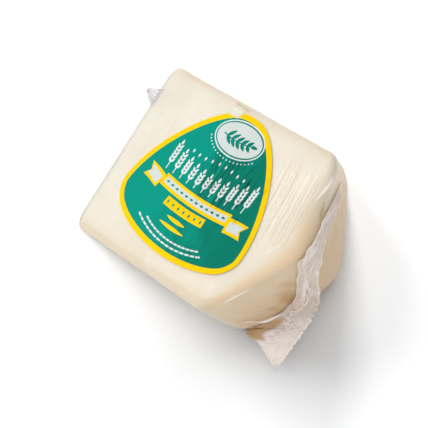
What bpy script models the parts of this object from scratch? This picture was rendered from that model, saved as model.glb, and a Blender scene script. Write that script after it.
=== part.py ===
"""Wedge of a small round pecorino, sealed in a clear film bag with a label on one cut face.

The wedge lies on its lower cut face. The axis of the wheel it was cut from is parallel to Y,
the thin edge of the wedge runs along Y at low X, and the rind, or heel, is at high X. The
origin is the middle of the flat area that the pack rests on. Metres, +Z up.
"""

import math

import bmesh
import bpy
from mathutils import Vector

# Driving dimensions of the wheel and the slice
WHEEL_RADIUS = 0.0982
WHEEL_HEIGHT = 0.075
SLICE_ANGLE = math.radians(38.0)
SLICE_TWIST = math.radians(4.0)     # the slice is this much thinner at +Y, and thicker at -Y
AXIS_TO_ORIGIN = 0.054              # from the wheel's axis to the middle of the resting face
HALF_HEIGHT = WHEEL_HEIGHT / 2

# The heel bulges: its reach falls from mid-height to the wheel's two flat sides
HEEL_FALL = 0.217                   # share of the reach lost at the flat sides
HEEL_FALL_POWER = 1.07
HEEL_CROWN_SOFTNESS = 0.165         # rounds the crown at mid-height
HEEL_FALL_DEPTH = 3.0               # how fast the bulge fades away from the rind

# Beside the upper cut face the +Y half of the heel stays full, and the film is drawn over it
HEEL_FULLNESS = 0.55                # share of the fall that is missing there
HEEL_FULLNESS_POWER = 4.0           # how fast it fades down the heel
HEEL_FULLNESS_FROM = 0.030          # height along the axis where it is complete

# Rounding of the wedge's edges under the tight film
THIN_EDGE_REACH = 0.0007
THIN_EDGE_RADIUS = 0.0036
SIDE_EDGE_RADIUS_THIN = 0.0070
SIDE_EDGE_RADIUS_HEEL = 0.0095
SIDE_EDGE_RADIUS_CHANGE = -0.0028   # at the heel, from mid-height to the +Y side
HEEL_EDGE_RADIUS = 0.0090
HEEL_EDGE_RADIUS_CHANGE = -0.0022   # from mid-height to the +Y side
CUT_EDGE_RADIUS_THIN = 0.0020
CUT_EDGE_RADIUS_HEEL = 0.0040
CUT_EDGE_SHARE = 0.85               # most of the half thickness that this rounding may take
BODY_SEGMENTS = 20
EDGE_CROWDING = 0.6                 # how much closer the grid's rows lie at the rounded edges

# The seal of the bag: a crinkled fin that lies on the heel and runs out into a free tail
SEAL_ROOT = 0.0030                  # depth of the fin below its outer face, on the heel
SEAL_THICKNESS = 0.0011             # of the free tail
SEAL_STEPS = 56
SEAL_COLUMNS = 7
SEAL_WAVES = 9
SEAL_WAVE_HEIGHT = 0.0005
SEAL_BOW = 0.0009                   # its middle stands this much prouder than its edges
SEAL_FREE_FROM = 0.58               # share of the fin's length where it has left the heel
SEAL_PARTING = 0.15                 # share of its length over which it leaves

# The bag's free corner beside the thin edge
EAR_MIDDLE_Y = 0.0206
EAR_TIP_Y = 0.0228
EAR_HALF_WIDTH = 0.0088
EAR_ROOT_X = 0.0085
EAR_TIP_X = -0.0033
EAR_THICKNESS = 0.0009
EAR_REST_HEIGHT = 0.0006
EAR_RISE = 0.0014
EAR_TAPER = 0.9
EAR_STEPS = 6

# The label: a triangle with round corners and bowed sides, given by its support function
LABEL_REACH = 0.0468                # its middle, from the wheel's axis along the cut face
LABEL_MIDDLE_Y = -0.0012
LABEL_MEAN_RADIUS = 0.0334
LABEL_CORNER_RISE = 0.0039          # of its three corners
LABEL_CORNER_ANGLE = math.radians(87.6)
LABEL_CORNER_ROUNDING = 0.00044
LABEL_STRETCH = 0.0020              # wider than it is high
LABEL_STRETCH_ANGLE = math.radians(-7.5)
LABEL_THICKNESS = 0.0003
LABEL_GAP = 0.0003
LABEL_SPOKES = 60
LABEL_RINGS = 5


def clamp(value, low, high):
    """Keep a value within its limits."""
    return max(low, min(high, value))


def smooth_step(low, high, value):
    """Rise gently from 0 at low to 1 at high."""
    step = clamp((value - low) / (high - low), 0, 1)
    return step * step * (3 - 2 * step)


def slice_angle(y):
    """Angle between the cut faces at a height y along the wheel's axis."""
    return SLICE_ANGLE - SLICE_TWIST * y / HALF_HEIGHT


def wheel_point(reach, y, share):
    """Point at a reach from the wheel's axis, at height y, a share 0..1 up the slice's angle."""
    height = abs(y) / HALF_HEIGHT
    crowned = math.hypot(height, HEEL_CROWN_SOFTNESS) - HEEL_CROWN_SOFTNESS
    fullness = HEEL_FULLNESS * smooth_step(0, HEEL_FULLNESS_FROM, y) * share**HEEL_FULLNESS_POWER
    fall = HEEL_FALL * crowned**HEEL_FALL_POWER * (1 - fullness)
    radius = reach * (1 - fall * (max(reach, 0) / WHEEL_RADIUS) ** HEEL_FALL_DEPTH)
    angle = slice_angle(y) * share
    return Vector((radius * math.cos(angle) - AXIS_TO_ORIGIN, y, radius * math.sin(angle)))


def wedge_point(along, across, rise):
    """Place a point of a cube's skin on the wedge, with the wedge's edges rounded.

    along runs 0..1 from the thin edge to the heel, across -1..1 along the wheel's axis and
    rise -1..1 from the lower cut face to the upper one.
    """
    reach = THIN_EDGE_REACH + (WHEEL_RADIUS - THIN_EDGE_REACH) * along
    y = across * HALF_HEIGHT
    half_thickness = reach * slice_angle(y) / 2
    depth = rise * half_thickness
    heel_edge = HEEL_EDGE_RADIUS + HEEL_EDGE_RADIUS_CHANGE * across
    cut_edge = CUT_EDGE_RADIUS_THIN + (CUT_EDGE_RADIUS_HEEL - CUT_EDGE_RADIUS_THIN) * along
    cut_edge = min(cut_edge, half_thickness * CUT_EDGE_SHARE)
    side_edge_heel = SIDE_EDGE_RADIUS_HEEL + SIDE_EDGE_RADIUS_CHANGE * across
    side_edge = SIDE_EDGE_RADIUS_THIN + (side_edge_heel - SIDE_EDGE_RADIUS_THIN) * along**2
    core = Vector((
        clamp(reach, THIN_EDGE_REACH + THIN_EDGE_RADIUS, WHEEL_RADIUS - heel_edge),
        clamp(y, side_edge - HALF_HEIGHT, HALF_HEIGHT - side_edge),
        clamp(depth, cut_edge - half_thickness, half_thickness - cut_edge),
    ))
    radii = Vector((heel_edge if along > 0.5 else THIN_EDGE_RADIUS, side_edge, cut_edge))
    beyond = Vector((reach, y, depth)) - core
    outward = Vector((beyond.x / radii.x, beyond.y / radii.y, beyond.z / radii.z)).normalized()
    rounded = core + Vector((outward.x * radii.x, outward.y * radii.y, outward.z * radii.z))
    share = (1 + rounded.z / half_thickness) / 2
    return wheel_point(rounded.x, rounded.y, share)


def crowded(position):
    """Crowd evenly spaced positions -1..1 towards both ends, where the edges are rounded."""
    return EDGE_CROWDING * math.sin(position * math.pi / 2) + (1 - EDGE_CROWDING) * position


def smooth_path(points, share):
    """Point at a share 0..1 along a smooth curve through the points."""
    place = share * (len(points) - 1)
    first = min(int(place), len(points) - 2)
    step = place - first
    before = points[max(first - 1, 0)]
    start, end = points[first], points[first + 1]
    after = points[min(first + 2, len(points) - 1)]
    leave, arrive = (end - before) / 2, (after - start) / 2
    return (
        start * (2 * step**3 - 3 * step**2 + 1)
        + leave * (step**3 - 2 * step**2 + step)
        + end * (3 * step**2 - 2 * step**3)
        + arrive * (step**3 - step**2)
    )


def near_heel(place):
    """Point given by its height y, its degrees round the wheel and its stand-off from the heel."""
    y, degrees, stand_off = place
    angle = math.radians(degrees)
    on_heel = wheel_point(WHEEL_RADIUS, y, angle / slice_angle(y))
    return on_heel + Vector((math.cos(angle), 0, math.sin(angle))) * stand_off


# The two long edges of the seal, from its top end on the heel to the tip of its tail. Each place
# is a height y, the degrees round the wheel from the lower cut face, and a stand-off from the heel
SEAL_UPPER_EDGE = (
    (0.0300, 25.0, 0.0),
    (0.0170, 31.0, 0.0),
    (0.0080, 33.0, 0.0),
    (-0.0030, 34.5, 0.0),
    (-0.0120, 25.5, 0.0),
    (-0.0200, 16.0, 0.0),
    (-0.0310, 7.8, -0.0004),
    (-0.0362, 5.2, -0.0010),
    (-0.0376, 3.3, 0.0066),
    (-0.0404, 2.5, 0.0140),
    (-0.0418, 2.1, 0.0181),
)
SEAL_LOWER_EDGE = (
    (0.0285, 22.5, 0.0),
    (0.0187, 26.0, 0.0),
    (0.0093, 28.0, 0.0),
    (-0.0017, 25.7, 0.0),
    (-0.0074, 17.6, 0.0011),
    (-0.0155, 8.3, 0.0052),
    (-0.0195, 6.4, 0.0084),
    (-0.0255, 4.8, 0.0115),
    (-0.0320, 3.5, 0.0147),
    (-0.0380, 2.6, 0.0180),
    (-0.0412, 2.2, 0.0195),
)


def finish_mesh(name, mesh_data):
    """Turn a bmesh into an object with outward faces."""
    bmesh.ops.recalc_face_normals(mesh_data, faces=mesh_data.faces)
    mesh = bpy.data.meshes.new(name)
    mesh_data.to_mesh(mesh)
    mesh_data.free()
    return bpy.data.objects.new(name, mesh)


def make_body():
    """The wedge in its tight film: a gridded cube whose skin is laid on the wedge's form."""
    body = bmesh.new()
    bmesh.ops.create_cube(body, size=2)
    bmesh.ops.subdivide_edges(body, edges=body.edges, cuts=BODY_SEGMENTS - 1, use_grid_fill=True)
    for vert in body.verts:
        along, across, rise = (crowded(position) for position in vert.co)
        vert.co = wedge_point((1 + along) / 2, across, rise)
    return finish_mesh("film_pack", body)


def make_sheet(name, columns, steps, outer_point, backing):
    """A closed sheet: a grid laid on outer_point, and its copy moved by backing.

    Both are functions of the place across the sheet and of the share of its length, 0..1.
    """
    sheet = bmesh.new()
    bmesh.ops.create_grid(sheet, x_segments=columns, y_segments=steps, size=1)
    outer = list(sheet.verts)
    extruded = bmesh.ops.extrude_face_region(sheet, geom=sheet.faces[:], use_keep_orig=True)
    backs = {item for item in extruded["geom"] if isinstance(item, bmesh.types.BMVert)}
    for vert in outer + list(backs):
        across, share = (1 + vert.co.x) / 2, (1 + vert.co.y) / 2
        vert.co = outer_point(across, share)
        if vert in backs:
            vert.co += backing(across, share)
    return finish_mesh(name, sheet)


def make_seal():
    """The bag's crinkled end seal, rooted in the heel, with its free tail."""
    upper = [Vector(place) for place in SEAL_UPPER_EDGE]
    lower = [Vector(place) for place in SEAL_LOWER_EDGE]

    def place(across, share):
        return smooth_path(lower, share).lerp(smooth_path(upper, share), across)

    def free_share(share):
        return smooth_step(SEAL_FREE_FROM - SEAL_PARTING, SEAL_FREE_FROM, share)

    def outward(across, share):
        angle = math.radians(place(across, share)[1])
        return Vector((math.cos(angle), 0, math.sin(angle)))

    def outer_point(across, share):
        wave = SEAL_WAVE_HEIGHT * math.sin(share * SEAL_WAVES * math.tau + across * math.pi)
        bow = SEAL_BOW * math.sin(across * math.pi)
        lift = outward(across, share).lerp(Vector((0, 0, 1)), free_share(share))
        return near_heel(place(across, share)) + lift * (wave + bow + SEAL_WAVE_HEIGHT)

    def backing(across, share):
        root = outward(across, share) * -SEAL_ROOT
        return root.lerp(Vector((0, 0, -SEAL_THICKNESS)), free_share(share))

    return make_sheet("seal", SEAL_COLUMNS, SEAL_STEPS, outer_point, backing)


def make_ear():
    """The small free corner of the bag beside the thin edge."""

    def outer_point(across, share):
        x = EAR_ROOT_X + (EAR_TIP_X - EAR_ROOT_X) * share - AXIS_TO_ORIGIN
        middle = EAR_MIDDLE_Y + (EAR_TIP_Y - EAR_MIDDLE_Y) * share
        y = middle + EAR_HALF_WIDTH * (2 * across - 1) * (1 - EAR_TAPER * share)
        z = EAR_REST_HEIGHT + EAR_THICKNESS + EAR_RISE * share
        return Vector((x, y, z))

    def backing(across, share):
        return Vector((0, 0, -EAR_THICKNESS))

    return make_sheet("ear", EAR_STEPS, EAR_STEPS, outer_point, backing)


def label_outline(angle):
    """Point of the label's outline whose outward direction has this angle."""
    corner = 3 * (angle - LABEL_CORNER_ANGLE)
    stretch = 2 * (angle - LABEL_STRETCH_ANGLE)
    support = (
        LABEL_MEAN_RADIUS
        + LABEL_CORNER_RISE * math.cos(corner)
        - LABEL_CORNER_ROUNDING * math.cos(2 * corner)
        + LABEL_STRETCH * math.cos(stretch)
    )
    slope = (
        -3 * LABEL_CORNER_RISE * math.sin(corner)
        + 6 * LABEL_CORNER_ROUNDING * math.sin(2 * corner)
        - 2 * LABEL_STRETCH * math.sin(stretch)
    )
    return (
        support * math.cos(angle) - slope * math.sin(angle),
        support * math.sin(angle) + slope * math.cos(angle),
    )


def cut_face_point(reach, y, above):
    """Point at a height above the upper cut face."""
    angle = slice_angle(y)
    on_face = Vector((reach * math.cos(angle) - AXIS_TO_ORIGIN, y, reach * math.sin(angle)))
    return on_face + Vector((-math.sin(angle), 0, math.cos(angle))) * above


def make_label():
    """The label: a turned disc whose rings are laid on the upper cut face."""
    disc = bmesh.new()
    low, high = LABEL_GAP, LABEL_GAP + LABEL_THICKNESS
    profile = [disc.verts.new((0, 0, low))]
    profile += [disc.verts.new((ring / LABEL_RINGS, 0, low)) for ring in range(1, LABEL_RINGS + 1)]
    profile += [disc.verts.new((ring / LABEL_RINGS, 0, high)) for ring in range(LABEL_RINGS, -1, -1)]
    edges = [disc.edges.new(pair) for pair in zip(profile, profile[1:])]
    bmesh.ops.spin(
        disc,
        geom=profile + edges,
        axis=(0, 0, 1),
        cent=(0, 0, 0),
        angle=math.tau,
        steps=LABEL_SPOKES,
        use_merge=True,
    )
    bmesh.ops.remove_doubles(disc, verts=disc.verts, dist=1e-5)
    for vert in disc.verts:
        size = math.hypot(vert.co.x, vert.co.y)
        outline_x, outline_y = label_outline(math.atan2(vert.co.y, vert.co.x))
        reach = LABEL_REACH + outline_x * size
        vert.co = cut_face_point(reach, LABEL_MIDDLE_Y + outline_y * size, vert.co.z)
    return finish_mesh("label", disc)


def join(body, additions):
    """Fuse the additions to the body and remove their own objects."""
    for addition in additions:
        union = body.modifiers.new(addition.name, "BOOLEAN")
        union.operation = "UNION"
        union.solver = "EXACT"
        union.object = addition
    bpy.context.view_layer.update()
    evaluated = body.evaluated_get(bpy.context.evaluated_depsgraph_get())
    fused = bpy.data.meshes.new_from_object(evaluated)
    body.modifiers.clear()
    body.data = fused
    for addition in additions:
        bpy.data.objects.remove(addition)


def make_material(name, color, roughness):
    """A plain Principled material."""
    material = bpy.data.materials.new(name)
    material.use_nodes = True
    shader = material.node_tree.nodes["Principled BSDF"]
    shader.inputs["Base Color"].default_value = (*color, 1)
    shader.inputs["Roughness"].default_value = roughness
    shader.inputs["Metallic"].default_value = 0
    return material


def main():
    for existing in list(bpy.data.objects):
        bpy.data.objects.remove(existing)
    collection = bpy.data.collections.new("pecorino_wedge")
    bpy.context.scene.collection.children.link(collection)

    body = make_body()
    seal = make_seal()
    ear = make_ear()
    label = make_label()
    for item in (body, seal, ear, label):
        collection.objects.link(item)
    join(body, (seal, ear))

    body.data.materials.clear()
    body.data.materials.append(make_material("film_over_cheese", (0.84, 0.76, 0.60), 0.3))
    label.data.materials.append(make_material("label_print", (0.0, 0.27, 0.20), 0.35))
    for item in (body, label):
        item.data.shade_smooth()
        item.data.set_sharp_from_angle(angle=math.radians(40))


if __name__ == "__main__":
    main()
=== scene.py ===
"""Looks of the sealed pecorino wedge: the cheese, its clear film with the crinkled end seal, and
the printed label on the upper cut face, with the studio stage and the camera.

The packed model is the frame: every piece is placed in its metres, +Z up. The wedge lies on its
lower cut face, the wheel's axis is parallel to Y, and the rind, or heel, is at high X. Folds and
prints are laid out in millimetres on the film laid flat, where u runs away from the wheel's axis
over the upper cut face and on down the heel, v runs along the wheel's axis, and both are 0 in the
middle of the label.
"""

import math
import random
from collections import namedtuple
from functools import partial

import bmesh
import bpy
import numpy as np
from mathutils import Matrix, Vector, noise


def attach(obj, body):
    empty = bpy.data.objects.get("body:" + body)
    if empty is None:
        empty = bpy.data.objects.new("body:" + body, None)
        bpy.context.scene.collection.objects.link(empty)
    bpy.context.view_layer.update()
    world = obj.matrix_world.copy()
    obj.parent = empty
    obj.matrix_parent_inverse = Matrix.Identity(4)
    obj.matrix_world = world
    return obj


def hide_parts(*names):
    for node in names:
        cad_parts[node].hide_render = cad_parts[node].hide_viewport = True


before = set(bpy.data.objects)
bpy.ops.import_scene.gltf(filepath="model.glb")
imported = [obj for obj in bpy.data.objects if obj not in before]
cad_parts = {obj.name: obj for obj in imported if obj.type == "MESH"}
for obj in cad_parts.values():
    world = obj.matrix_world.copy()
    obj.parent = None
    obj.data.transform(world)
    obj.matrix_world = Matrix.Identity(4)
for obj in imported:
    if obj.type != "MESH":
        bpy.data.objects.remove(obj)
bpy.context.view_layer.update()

bl_info = {
    "name": "Sealed pecorino wedge",
    "version": (1, 0, 0),
    "blender": (4, 5, 0),
    "location": "3D View > Sidebar > Pecorino",
    "description": "Dresses the packed wedge with cheese, clear film, end seal and label",
    "category": "Object",
}

MM = 0.001

# The wheel and the slice, as in the solids, with a softer edge between cut face and heel
WHEEL_RADIUS = 98.2 * MM
HALF_HEIGHT = 37.5 * MM
SLICE_ANGLE = math.radians(38)
SLICE_TWIST = math.radians(4)
AXIS_TO_ORIGIN = 54 * MM
HEEL_FALL = 0.217
HEEL_FALL_POWER = 1.07
HEEL_CROWN_SOFTNESS = 0.165
HEEL_FALL_DEPTH = 3.0
HEEL_FULLNESS = 0.55
HEEL_FULLNESS_POWER = 4.0
HEEL_FULLNESS_FROM = 30 * MM
THIN_EDGE_REACH = 0.7 * MM
THIN_EDGE_RADIUS = 3.6 * MM
SIDE_EDGE_RADIUS_THIN = 7.0 * MM
SIDE_EDGE_RADIUS_HEEL = 9.5 * MM
SIDE_EDGE_RADIUS_CHANGE = -2.8 * MM
HEEL_EDGE_RADIUS = 11.0 * MM
HEEL_EDGE_RADIUS_CHANGE = -2.2 * MM
CUT_EDGE_RADIUS_THIN = 2.0 * MM
CUT_EDGE_RADIUS_HEEL = 6.5 * MM
CUT_EDGE_SHARE = 0.85
EDGE_CROWDING = 0.6

# Size and height of the slow unevenness of the whole pack
SWELL_SIZE = 24 * MM
SWELL_HEIGHT = 0.22 * MM

# The label's place and outline, as in the solids
LABEL_REACH = 46.8 * MM
LABEL_MIDDLE_Y = -1.2 * MM
LABEL_MEAN_RADIUS = 33.4 * MM
LABEL_CORNER_RISE = 3.9 * MM
LABEL_CORNER_ANGLE = math.radians(87.6)
LABEL_CORNER_ROUNDING = 0.44 * MM
LABEL_STRETCH = 2.0 * MM
LABEL_STRETCH_ANGLE = math.radians(-7.5)

# The body that all pieces ride on
BODY = "root"


# ---------------- the wedge's form


def clamp(value, low=0.0, high=1.0):
    """Keep a value within its limits."""
    return max(low, min(high, value))


def between(start, end, share):
    """Value at a share of the way from start to end."""
    return start + (end - start) * share


def smooth_step(low, high, value):
    """Change gently from 0 at low to 1 at high."""
    step = clamp((value - low) / (high - low))
    return step * step * (3 - 2 * step)


def plateau(low, full, full_to, high, value):
    """Rise gently from 0 at low to 1 at full, and fall back from 1 at full_to to 0 at high."""
    return smooth_step(low, full, value) * (1 - smooth_step(full_to, high, value))


def slice_angle(y):
    """Angle between the cut faces at a height y along the wheel's axis."""
    return SLICE_ANGLE - SLICE_TWIST * y / HALF_HEIGHT


def round_axis(radius, y, angle):
    """Point at a radius from the wheel's axis, a height y along it and an angle round it."""
    return Vector((radius * math.cos(angle) - AXIS_TO_ORIGIN, y, radius * math.sin(angle)))


def away_from_axis(angle):
    """Direction away from the wheel's axis, at an angle round it."""
    return Vector((math.cos(angle), 0, math.sin(angle)))


def wheel_point(reach, y, share):
    """Point at a reach from the wheel's axis, at height y, a share 0..1 up the slice's angle."""
    height = abs(y) / HALF_HEIGHT
    crowned = math.hypot(height, HEEL_CROWN_SOFTNESS) - HEEL_CROWN_SOFTNESS
    fullness = HEEL_FULLNESS * smooth_step(0, HEEL_FULLNESS_FROM, y) * share**HEEL_FULLNESS_POWER
    fall = HEEL_FALL * crowned**HEEL_FALL_POWER * (1 - fullness)
    radius = reach * (1 - fall * (max(reach, 0) / WHEEL_RADIUS) ** HEEL_FALL_DEPTH)
    return round_axis(radius, y, slice_angle(y) * share)


def wedge_point(along, across, rise):
    """Place a point of a cube's skin on the wedge, with the wedge's edges rounded.

    along runs 0..1 from the thin edge to the heel, across -1..1 along the wheel's axis and
    rise -1..1 from the lower cut face to the upper one.
    """
    reach = between(THIN_EDGE_REACH, WHEEL_RADIUS, along)
    y = across * HALF_HEIGHT
    half_thickness = reach * slice_angle(y) / 2
    depth = rise * half_thickness
    heel_edge = HEEL_EDGE_RADIUS + HEEL_EDGE_RADIUS_CHANGE * across
    cut_edge = between(CUT_EDGE_RADIUS_THIN, CUT_EDGE_RADIUS_HEEL, along)
    cut_edge = min(cut_edge, half_thickness * CUT_EDGE_SHARE)
    side_edge_heel = SIDE_EDGE_RADIUS_HEEL + SIDE_EDGE_RADIUS_CHANGE * across
    side_edge = between(SIDE_EDGE_RADIUS_THIN, side_edge_heel, along**2)
    core = Vector((
        clamp(reach, THIN_EDGE_REACH + THIN_EDGE_RADIUS, WHEEL_RADIUS - heel_edge),
        clamp(y, side_edge - HALF_HEIGHT, HALF_HEIGHT - side_edge),
        clamp(depth, cut_edge - half_thickness, half_thickness - cut_edge),
    ))
    radii = Vector((heel_edge if along > 0.5 else THIN_EDGE_RADIUS, side_edge, cut_edge))
    beyond = Vector((reach, y, depth)) - core
    outward = Vector([part / radius for part, radius in zip(beyond, radii)]).normalized()
    rounded = core + outward * radii
    return wheel_point(rounded.x, rounded.y, (1 + rounded.z / half_thickness) / 2)


def crowded(position):
    """Crowd evenly spaced positions -1..1 towards both ends, where the edges are rounded."""
    return between(position, math.sin(position * math.pi / 2), EDGE_CROWDING)


def near_heel(place):
    """Point given by its height y, its degrees round the wheel and its stand-off from the heel."""
    y, degrees, stand_off = place
    angle = math.radians(degrees)
    return wheel_point(WHEEL_RADIUS, y, angle / slice_angle(y)) + away_from_axis(angle) * stand_off


def face_point(u, v, above):
    """Point above the upper cut face, at a place of the film laid flat, all in metres."""
    y = LABEL_MIDDLE_Y + v
    angle = slice_angle(y)
    return round_axis(LABEL_REACH + u, y, angle) + away_from_axis(angle + math.pi / 2) * above


def course(*places):
    """Places for a smooth path to run through."""
    return [Vector(place) for place in places]


def smooth_path(points, share):
    """Point at a share 0..1 along a smooth curve through the points."""
    place = share * (len(points) - 1)
    first = min(int(place), len(points) - 2)
    step = place - first
    before = points[max(first - 1, 0)]
    start, end = points[first], points[first + 1]
    after = points[min(first + 2, len(points) - 1)]
    leave, arrive = (end - before) / 2, (after - start) / 2
    return (
        start * (2 * step**3 - 3 * step**2 + 1)
        + leave * (step**3 - 2 * step**2 + step)
        + end * (3 * step**2 - 2 * step**3)
        + arrive * (step**3 - step**2)
    )


def swell(point):
    """Height of the slow, shallow unevenness of the whole pack."""
    return noise.noise(point / SWELL_SIZE) * SWELL_HEIGHT


# ---------------- folds of the film

# A fold on the film laid flat: the place of its middle, the degrees its line is turned from u
# towards v, half its length, its half width, its height and its haze, and how much it bows
Fold = namedtuple("Fold", "u v turn half_length width height haze bow")


def scatter_folds(seed, count, zone, turn, half_length, width, height, haze):
    """Folds of one kind, spread over a zone (lowest u, highest u, lowest v, highest v).

    half_length, width, height and haze are each a pair: the least and the most.
    """
    chance = random.Random(seed)
    folds = []
    for place in range(count):
        u = between(zone[0], zone[1], (place + chance.random()) / count)
        v = chance.uniform(zone[2], zone[3])
        folds.append(Fold(
            u, v, turn + chance.gauss(0, 4), chance.uniform(*half_length), chance.uniform(*width),
            chance.uniform(*height), chance.uniform(*haze), chance.uniform(-1.5, 1.5),
        ))
    return folds


# Pleats between the label and the heel, drawn towards the seal
PLEATS = scatter_folds(
    seed=3, count=15, zone=(26, 46, 6, 20), turn=-79,
    half_length=(9, 15), width=(0.4, 0.6), height=(0.08, 0.16), haze=(0.15, 0.35),
)
# Fine wrinkles beside the label, on the side of the thin edge
WRINKLES = scatter_folds(
    seed=8, count=16, zone=(-40, -24, 4, 24), turn=-84,
    half_length=(5, 11), width=(0.25, 0.4), height=(0.02, 0.06), haze=(0.05, 0.22),
)
# Narrow planks that the shrinking film has pressed into the label
PLANKS = scatter_folds(
    seed=21, count=22, zone=(-16, 27, -4, 20), turn=-86,
    half_length=(5, 12), width=(0.45, 0.9), height=(0.03, 0.1), haze=(0.0, 0.1),
)
# The film tented over the heel's edge, a soft ridge beside it, and two sharp creases; their high haze
# is a painted highlight on the ridges and painted glints on the creases
SINGLES = [
    Fold(52.8, 25.0, 74, 7.5, 1.0, 1.1, 1.0, -0.4),
    Fold(49.0, 23.0, 78, 7.0, 0.6, 0.4, 0.5, -0.5),
    Fold(56.3, -24.8, 89, 7.0, 0.6, 0.35, 1.0, 0.8),
    Fold(44.5, -3.2, 76, 5.5, 0.55, 0.3, 0.8, 0.0),
]
# Gathers on the heel, drawn towards the seal
GATHERS = [
    Fold(75, -24, 52, 14, 0.9, 0.45, 0.25, 2.0),
    Fold(80, -25, 48, 15, 1.0, 0.5, 0.3, 2.0),
    Fold(72, -15, 62, 8, 0.8, 0.4, 0.2, 0.0),
    Fold(70, -11, 66, 7, 0.7, 0.4, 0.2, 0.0),
    Fold(68, -8, 70, 7, 0.7, 0.35, 0.15, 0.0),
    Fold(74, 26, -60, 10, 0.9, 0.3, 0.2, 0.0),
    Fold(80, 22, -65, 12, 0.9, 0.3, 0.2, 0.0),
]
# Darker, golden patches on the rind beside the seal
CLEFTS = [
    Fold(57.5, 17.8, -80, 3.6, 1.0, 0.0, 0.95, 0.0),
    Fold(64.0, 11.5, -80, 5.5, 1.5, 0.0, 0.6, 0.0),
    Fold(70.0, -11.2, 20, 6.0, 1.9, 0.0, 0.6, 0.0),
    Fold(82.0, -16.0, -10, 12.0, 2.9, 0.0, 1.0, 0.0),
    Fold(88.0, -21.6, 0, 8.0, 1.9, 0.0, 1.0, 0.0),
    Fold(92.0, -25.4, 0, 10.0, 2.8, 0.0, 0.5, 0.0),
]
FILM_FOLDS = PLEATS + WRINKLES + PLANKS + SINGLES + GATHERS


def fold_relief(folds, places):
    """Height, in metres, and haze that folds give at places (u, v)."""
    u, v = np.array(places).T
    height, haze = np.zeros(len(u)), np.zeros(len(u))
    for fold in folds:
        cos, sin = math.cos(math.radians(fold.turn)), math.sin(math.radians(fold.turn))
        along = ((u - fold.u) * cos + (v - fold.v) * sin) / fold.half_length
        aside = (v - fold.v) * cos - (u - fold.u) * sin + fold.bow * along**2
        strength = np.exp(-((aside / fold.width) ** 2)) * np.clip(1 - along**2, 0, 1)
        height += fold.height * strength
        haze = np.maximum(haze, fold.haze * strength)
    return height * MM, haze


def pleated_share(u, v):
    """How finely the film is pleated: between the label and the heel, and beside the label."""
    by_heel = plateau(22, 28, 46, 52, u) * plateau(-12, 4, 24, 33, v)
    by_thin_edge = plateau(-42, -36, -27, -20, u) * plateau(-8, 4, 24, 32, v)
    return 0.45 * by_heel + 0.2 * by_thin_edge


def pressed_share(u, v):
    """How hard the film presses its planks into the label: most between oval and ribbon."""
    return plateau(-6, 4, 22, 28, u) * plateau(-6, 1, 15, 21, v)


def laid_flat(place):
    """Where a point of a cube's skin comes on the film laid flat, or far away beside it."""
    along, across, rise = place
    y = across * HALF_HEIGHT
    if rise > 0.9999:
        u = between(THIN_EDGE_REACH, WHEEL_RADIUS, along) - LABEL_REACH
    elif along > 0.9999:
        u = WHEEL_RADIUS - LABEL_REACH + WHEEL_RADIUS * slice_angle(y) * (1 - rise) / 2
    else:
        u = -1.0
    return u / MM, (y - LABEL_MIDDLE_Y) / MM


# ---------------- meshes and pieces


def put_in_scene(name, data):
    """Show a mesh, lamp or camera in the scene."""
    thing = bpy.data.objects.new(name, data)
    bpy.context.scene.collection.objects.link(thing)
    return thing


def make_mesh(name, mesh_data, material, sharp=40):
    """Show a bmesh, smooth but for the edges sharper than some degrees."""
    mesh = bpy.data.meshes.new(name)
    mesh_data.to_mesh(mesh)
    mesh_data.free()
    mesh.materials.append(material)
    mesh.shade_smooth()
    mesh.set_sharp_from_angle(angle=math.radians(sharp))
    return put_in_scene(name, mesh)


def finish_piece(name, mesh_data, material, nodes=(), sharp=40):
    """Turn a bmesh into a shown piece that rides on the part."""
    piece = make_mesh(name, mesh_data, material, sharp)
    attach(piece, BODY)
    if nodes:
        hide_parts(*nodes)


def store(mesh_data, **values):
    """Keep a value for each vertex as an attribute that the materials read."""
    for name, numbers in values.items():
        layer = mesh_data.verts.layers.float.new(name)
        for vert, number in zip(mesh_data.verts, numbers):
            vert[layer] = number


def gridded_cube(segments, face_cuts=0, heel_cuts=0):
    """A cube of size 2 whose faces are grids, finer on the upper cut face and on the heel."""
    cube = bmesh.new()
    bmesh.ops.create_cube(cube, size=2)
    bmesh.ops.subdivide_edges(cube, edges=cube.edges, cuts=segments - 1, use_grid_fill=True)
    for cuts, axis in ((heel_cuts, Vector((1, 0, 0))), (face_cuts, Vector((0, 0, 1)))):
        if not cuts:
            continue
        cube.normal_update()
        edges = {edge for face in cube.faces if face.normal.dot(axis) > 0.9 for edge in face.edges}
        bmesh.ops.subdivide_edges(cube, edges=list(edges), cuts=cuts, use_grid_fill=True)
    return cube


def lay_on_wedge(cube, inset):
    """Move a gridded cube's vertices onto the wedge, and return their places on the cube.

    Nothing sinks below the level that the pack rests on.
    """
    places = []
    for vert in cube.verts:
        along, across, rise = (crowded(position) for position in vert.co)
        place = ((1 + along) / 2, across, rise)
        places.append(place)
        vert.co = wedge_point(*place)
    cube.normal_update()
    for vert in cube.verts:
        vert.co += vert.normal * (swell(vert.co) - inset)
        vert.co.z = max(vert.co.z, inset)
    bmesh.ops.recalc_face_normals(cube, faces=cube.faces)
    return places


# ---------------- shaders

# Finenesses of patterns, in waves per metre, across and along the folds
PLEAT_FINENESS = (850, 16)
PLANK_FINENESS = (440, 34, 0)
PRINT_CRINKLE = (520, 55)
# Degrees by which the fine pleats are turned on the upper cut face
PLEAT_TURN = -11
# Colours of film that is pressed against the rind, with painted shade under the heel, and painted
# shade in the hollows between fine pleats
PRESSED_CHEESE_AND_SHADE = (0.52, 0.32, 0.155)
PLEAT_HOLLOW_SHADE = (0.62, 0.51, 0.375)


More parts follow.
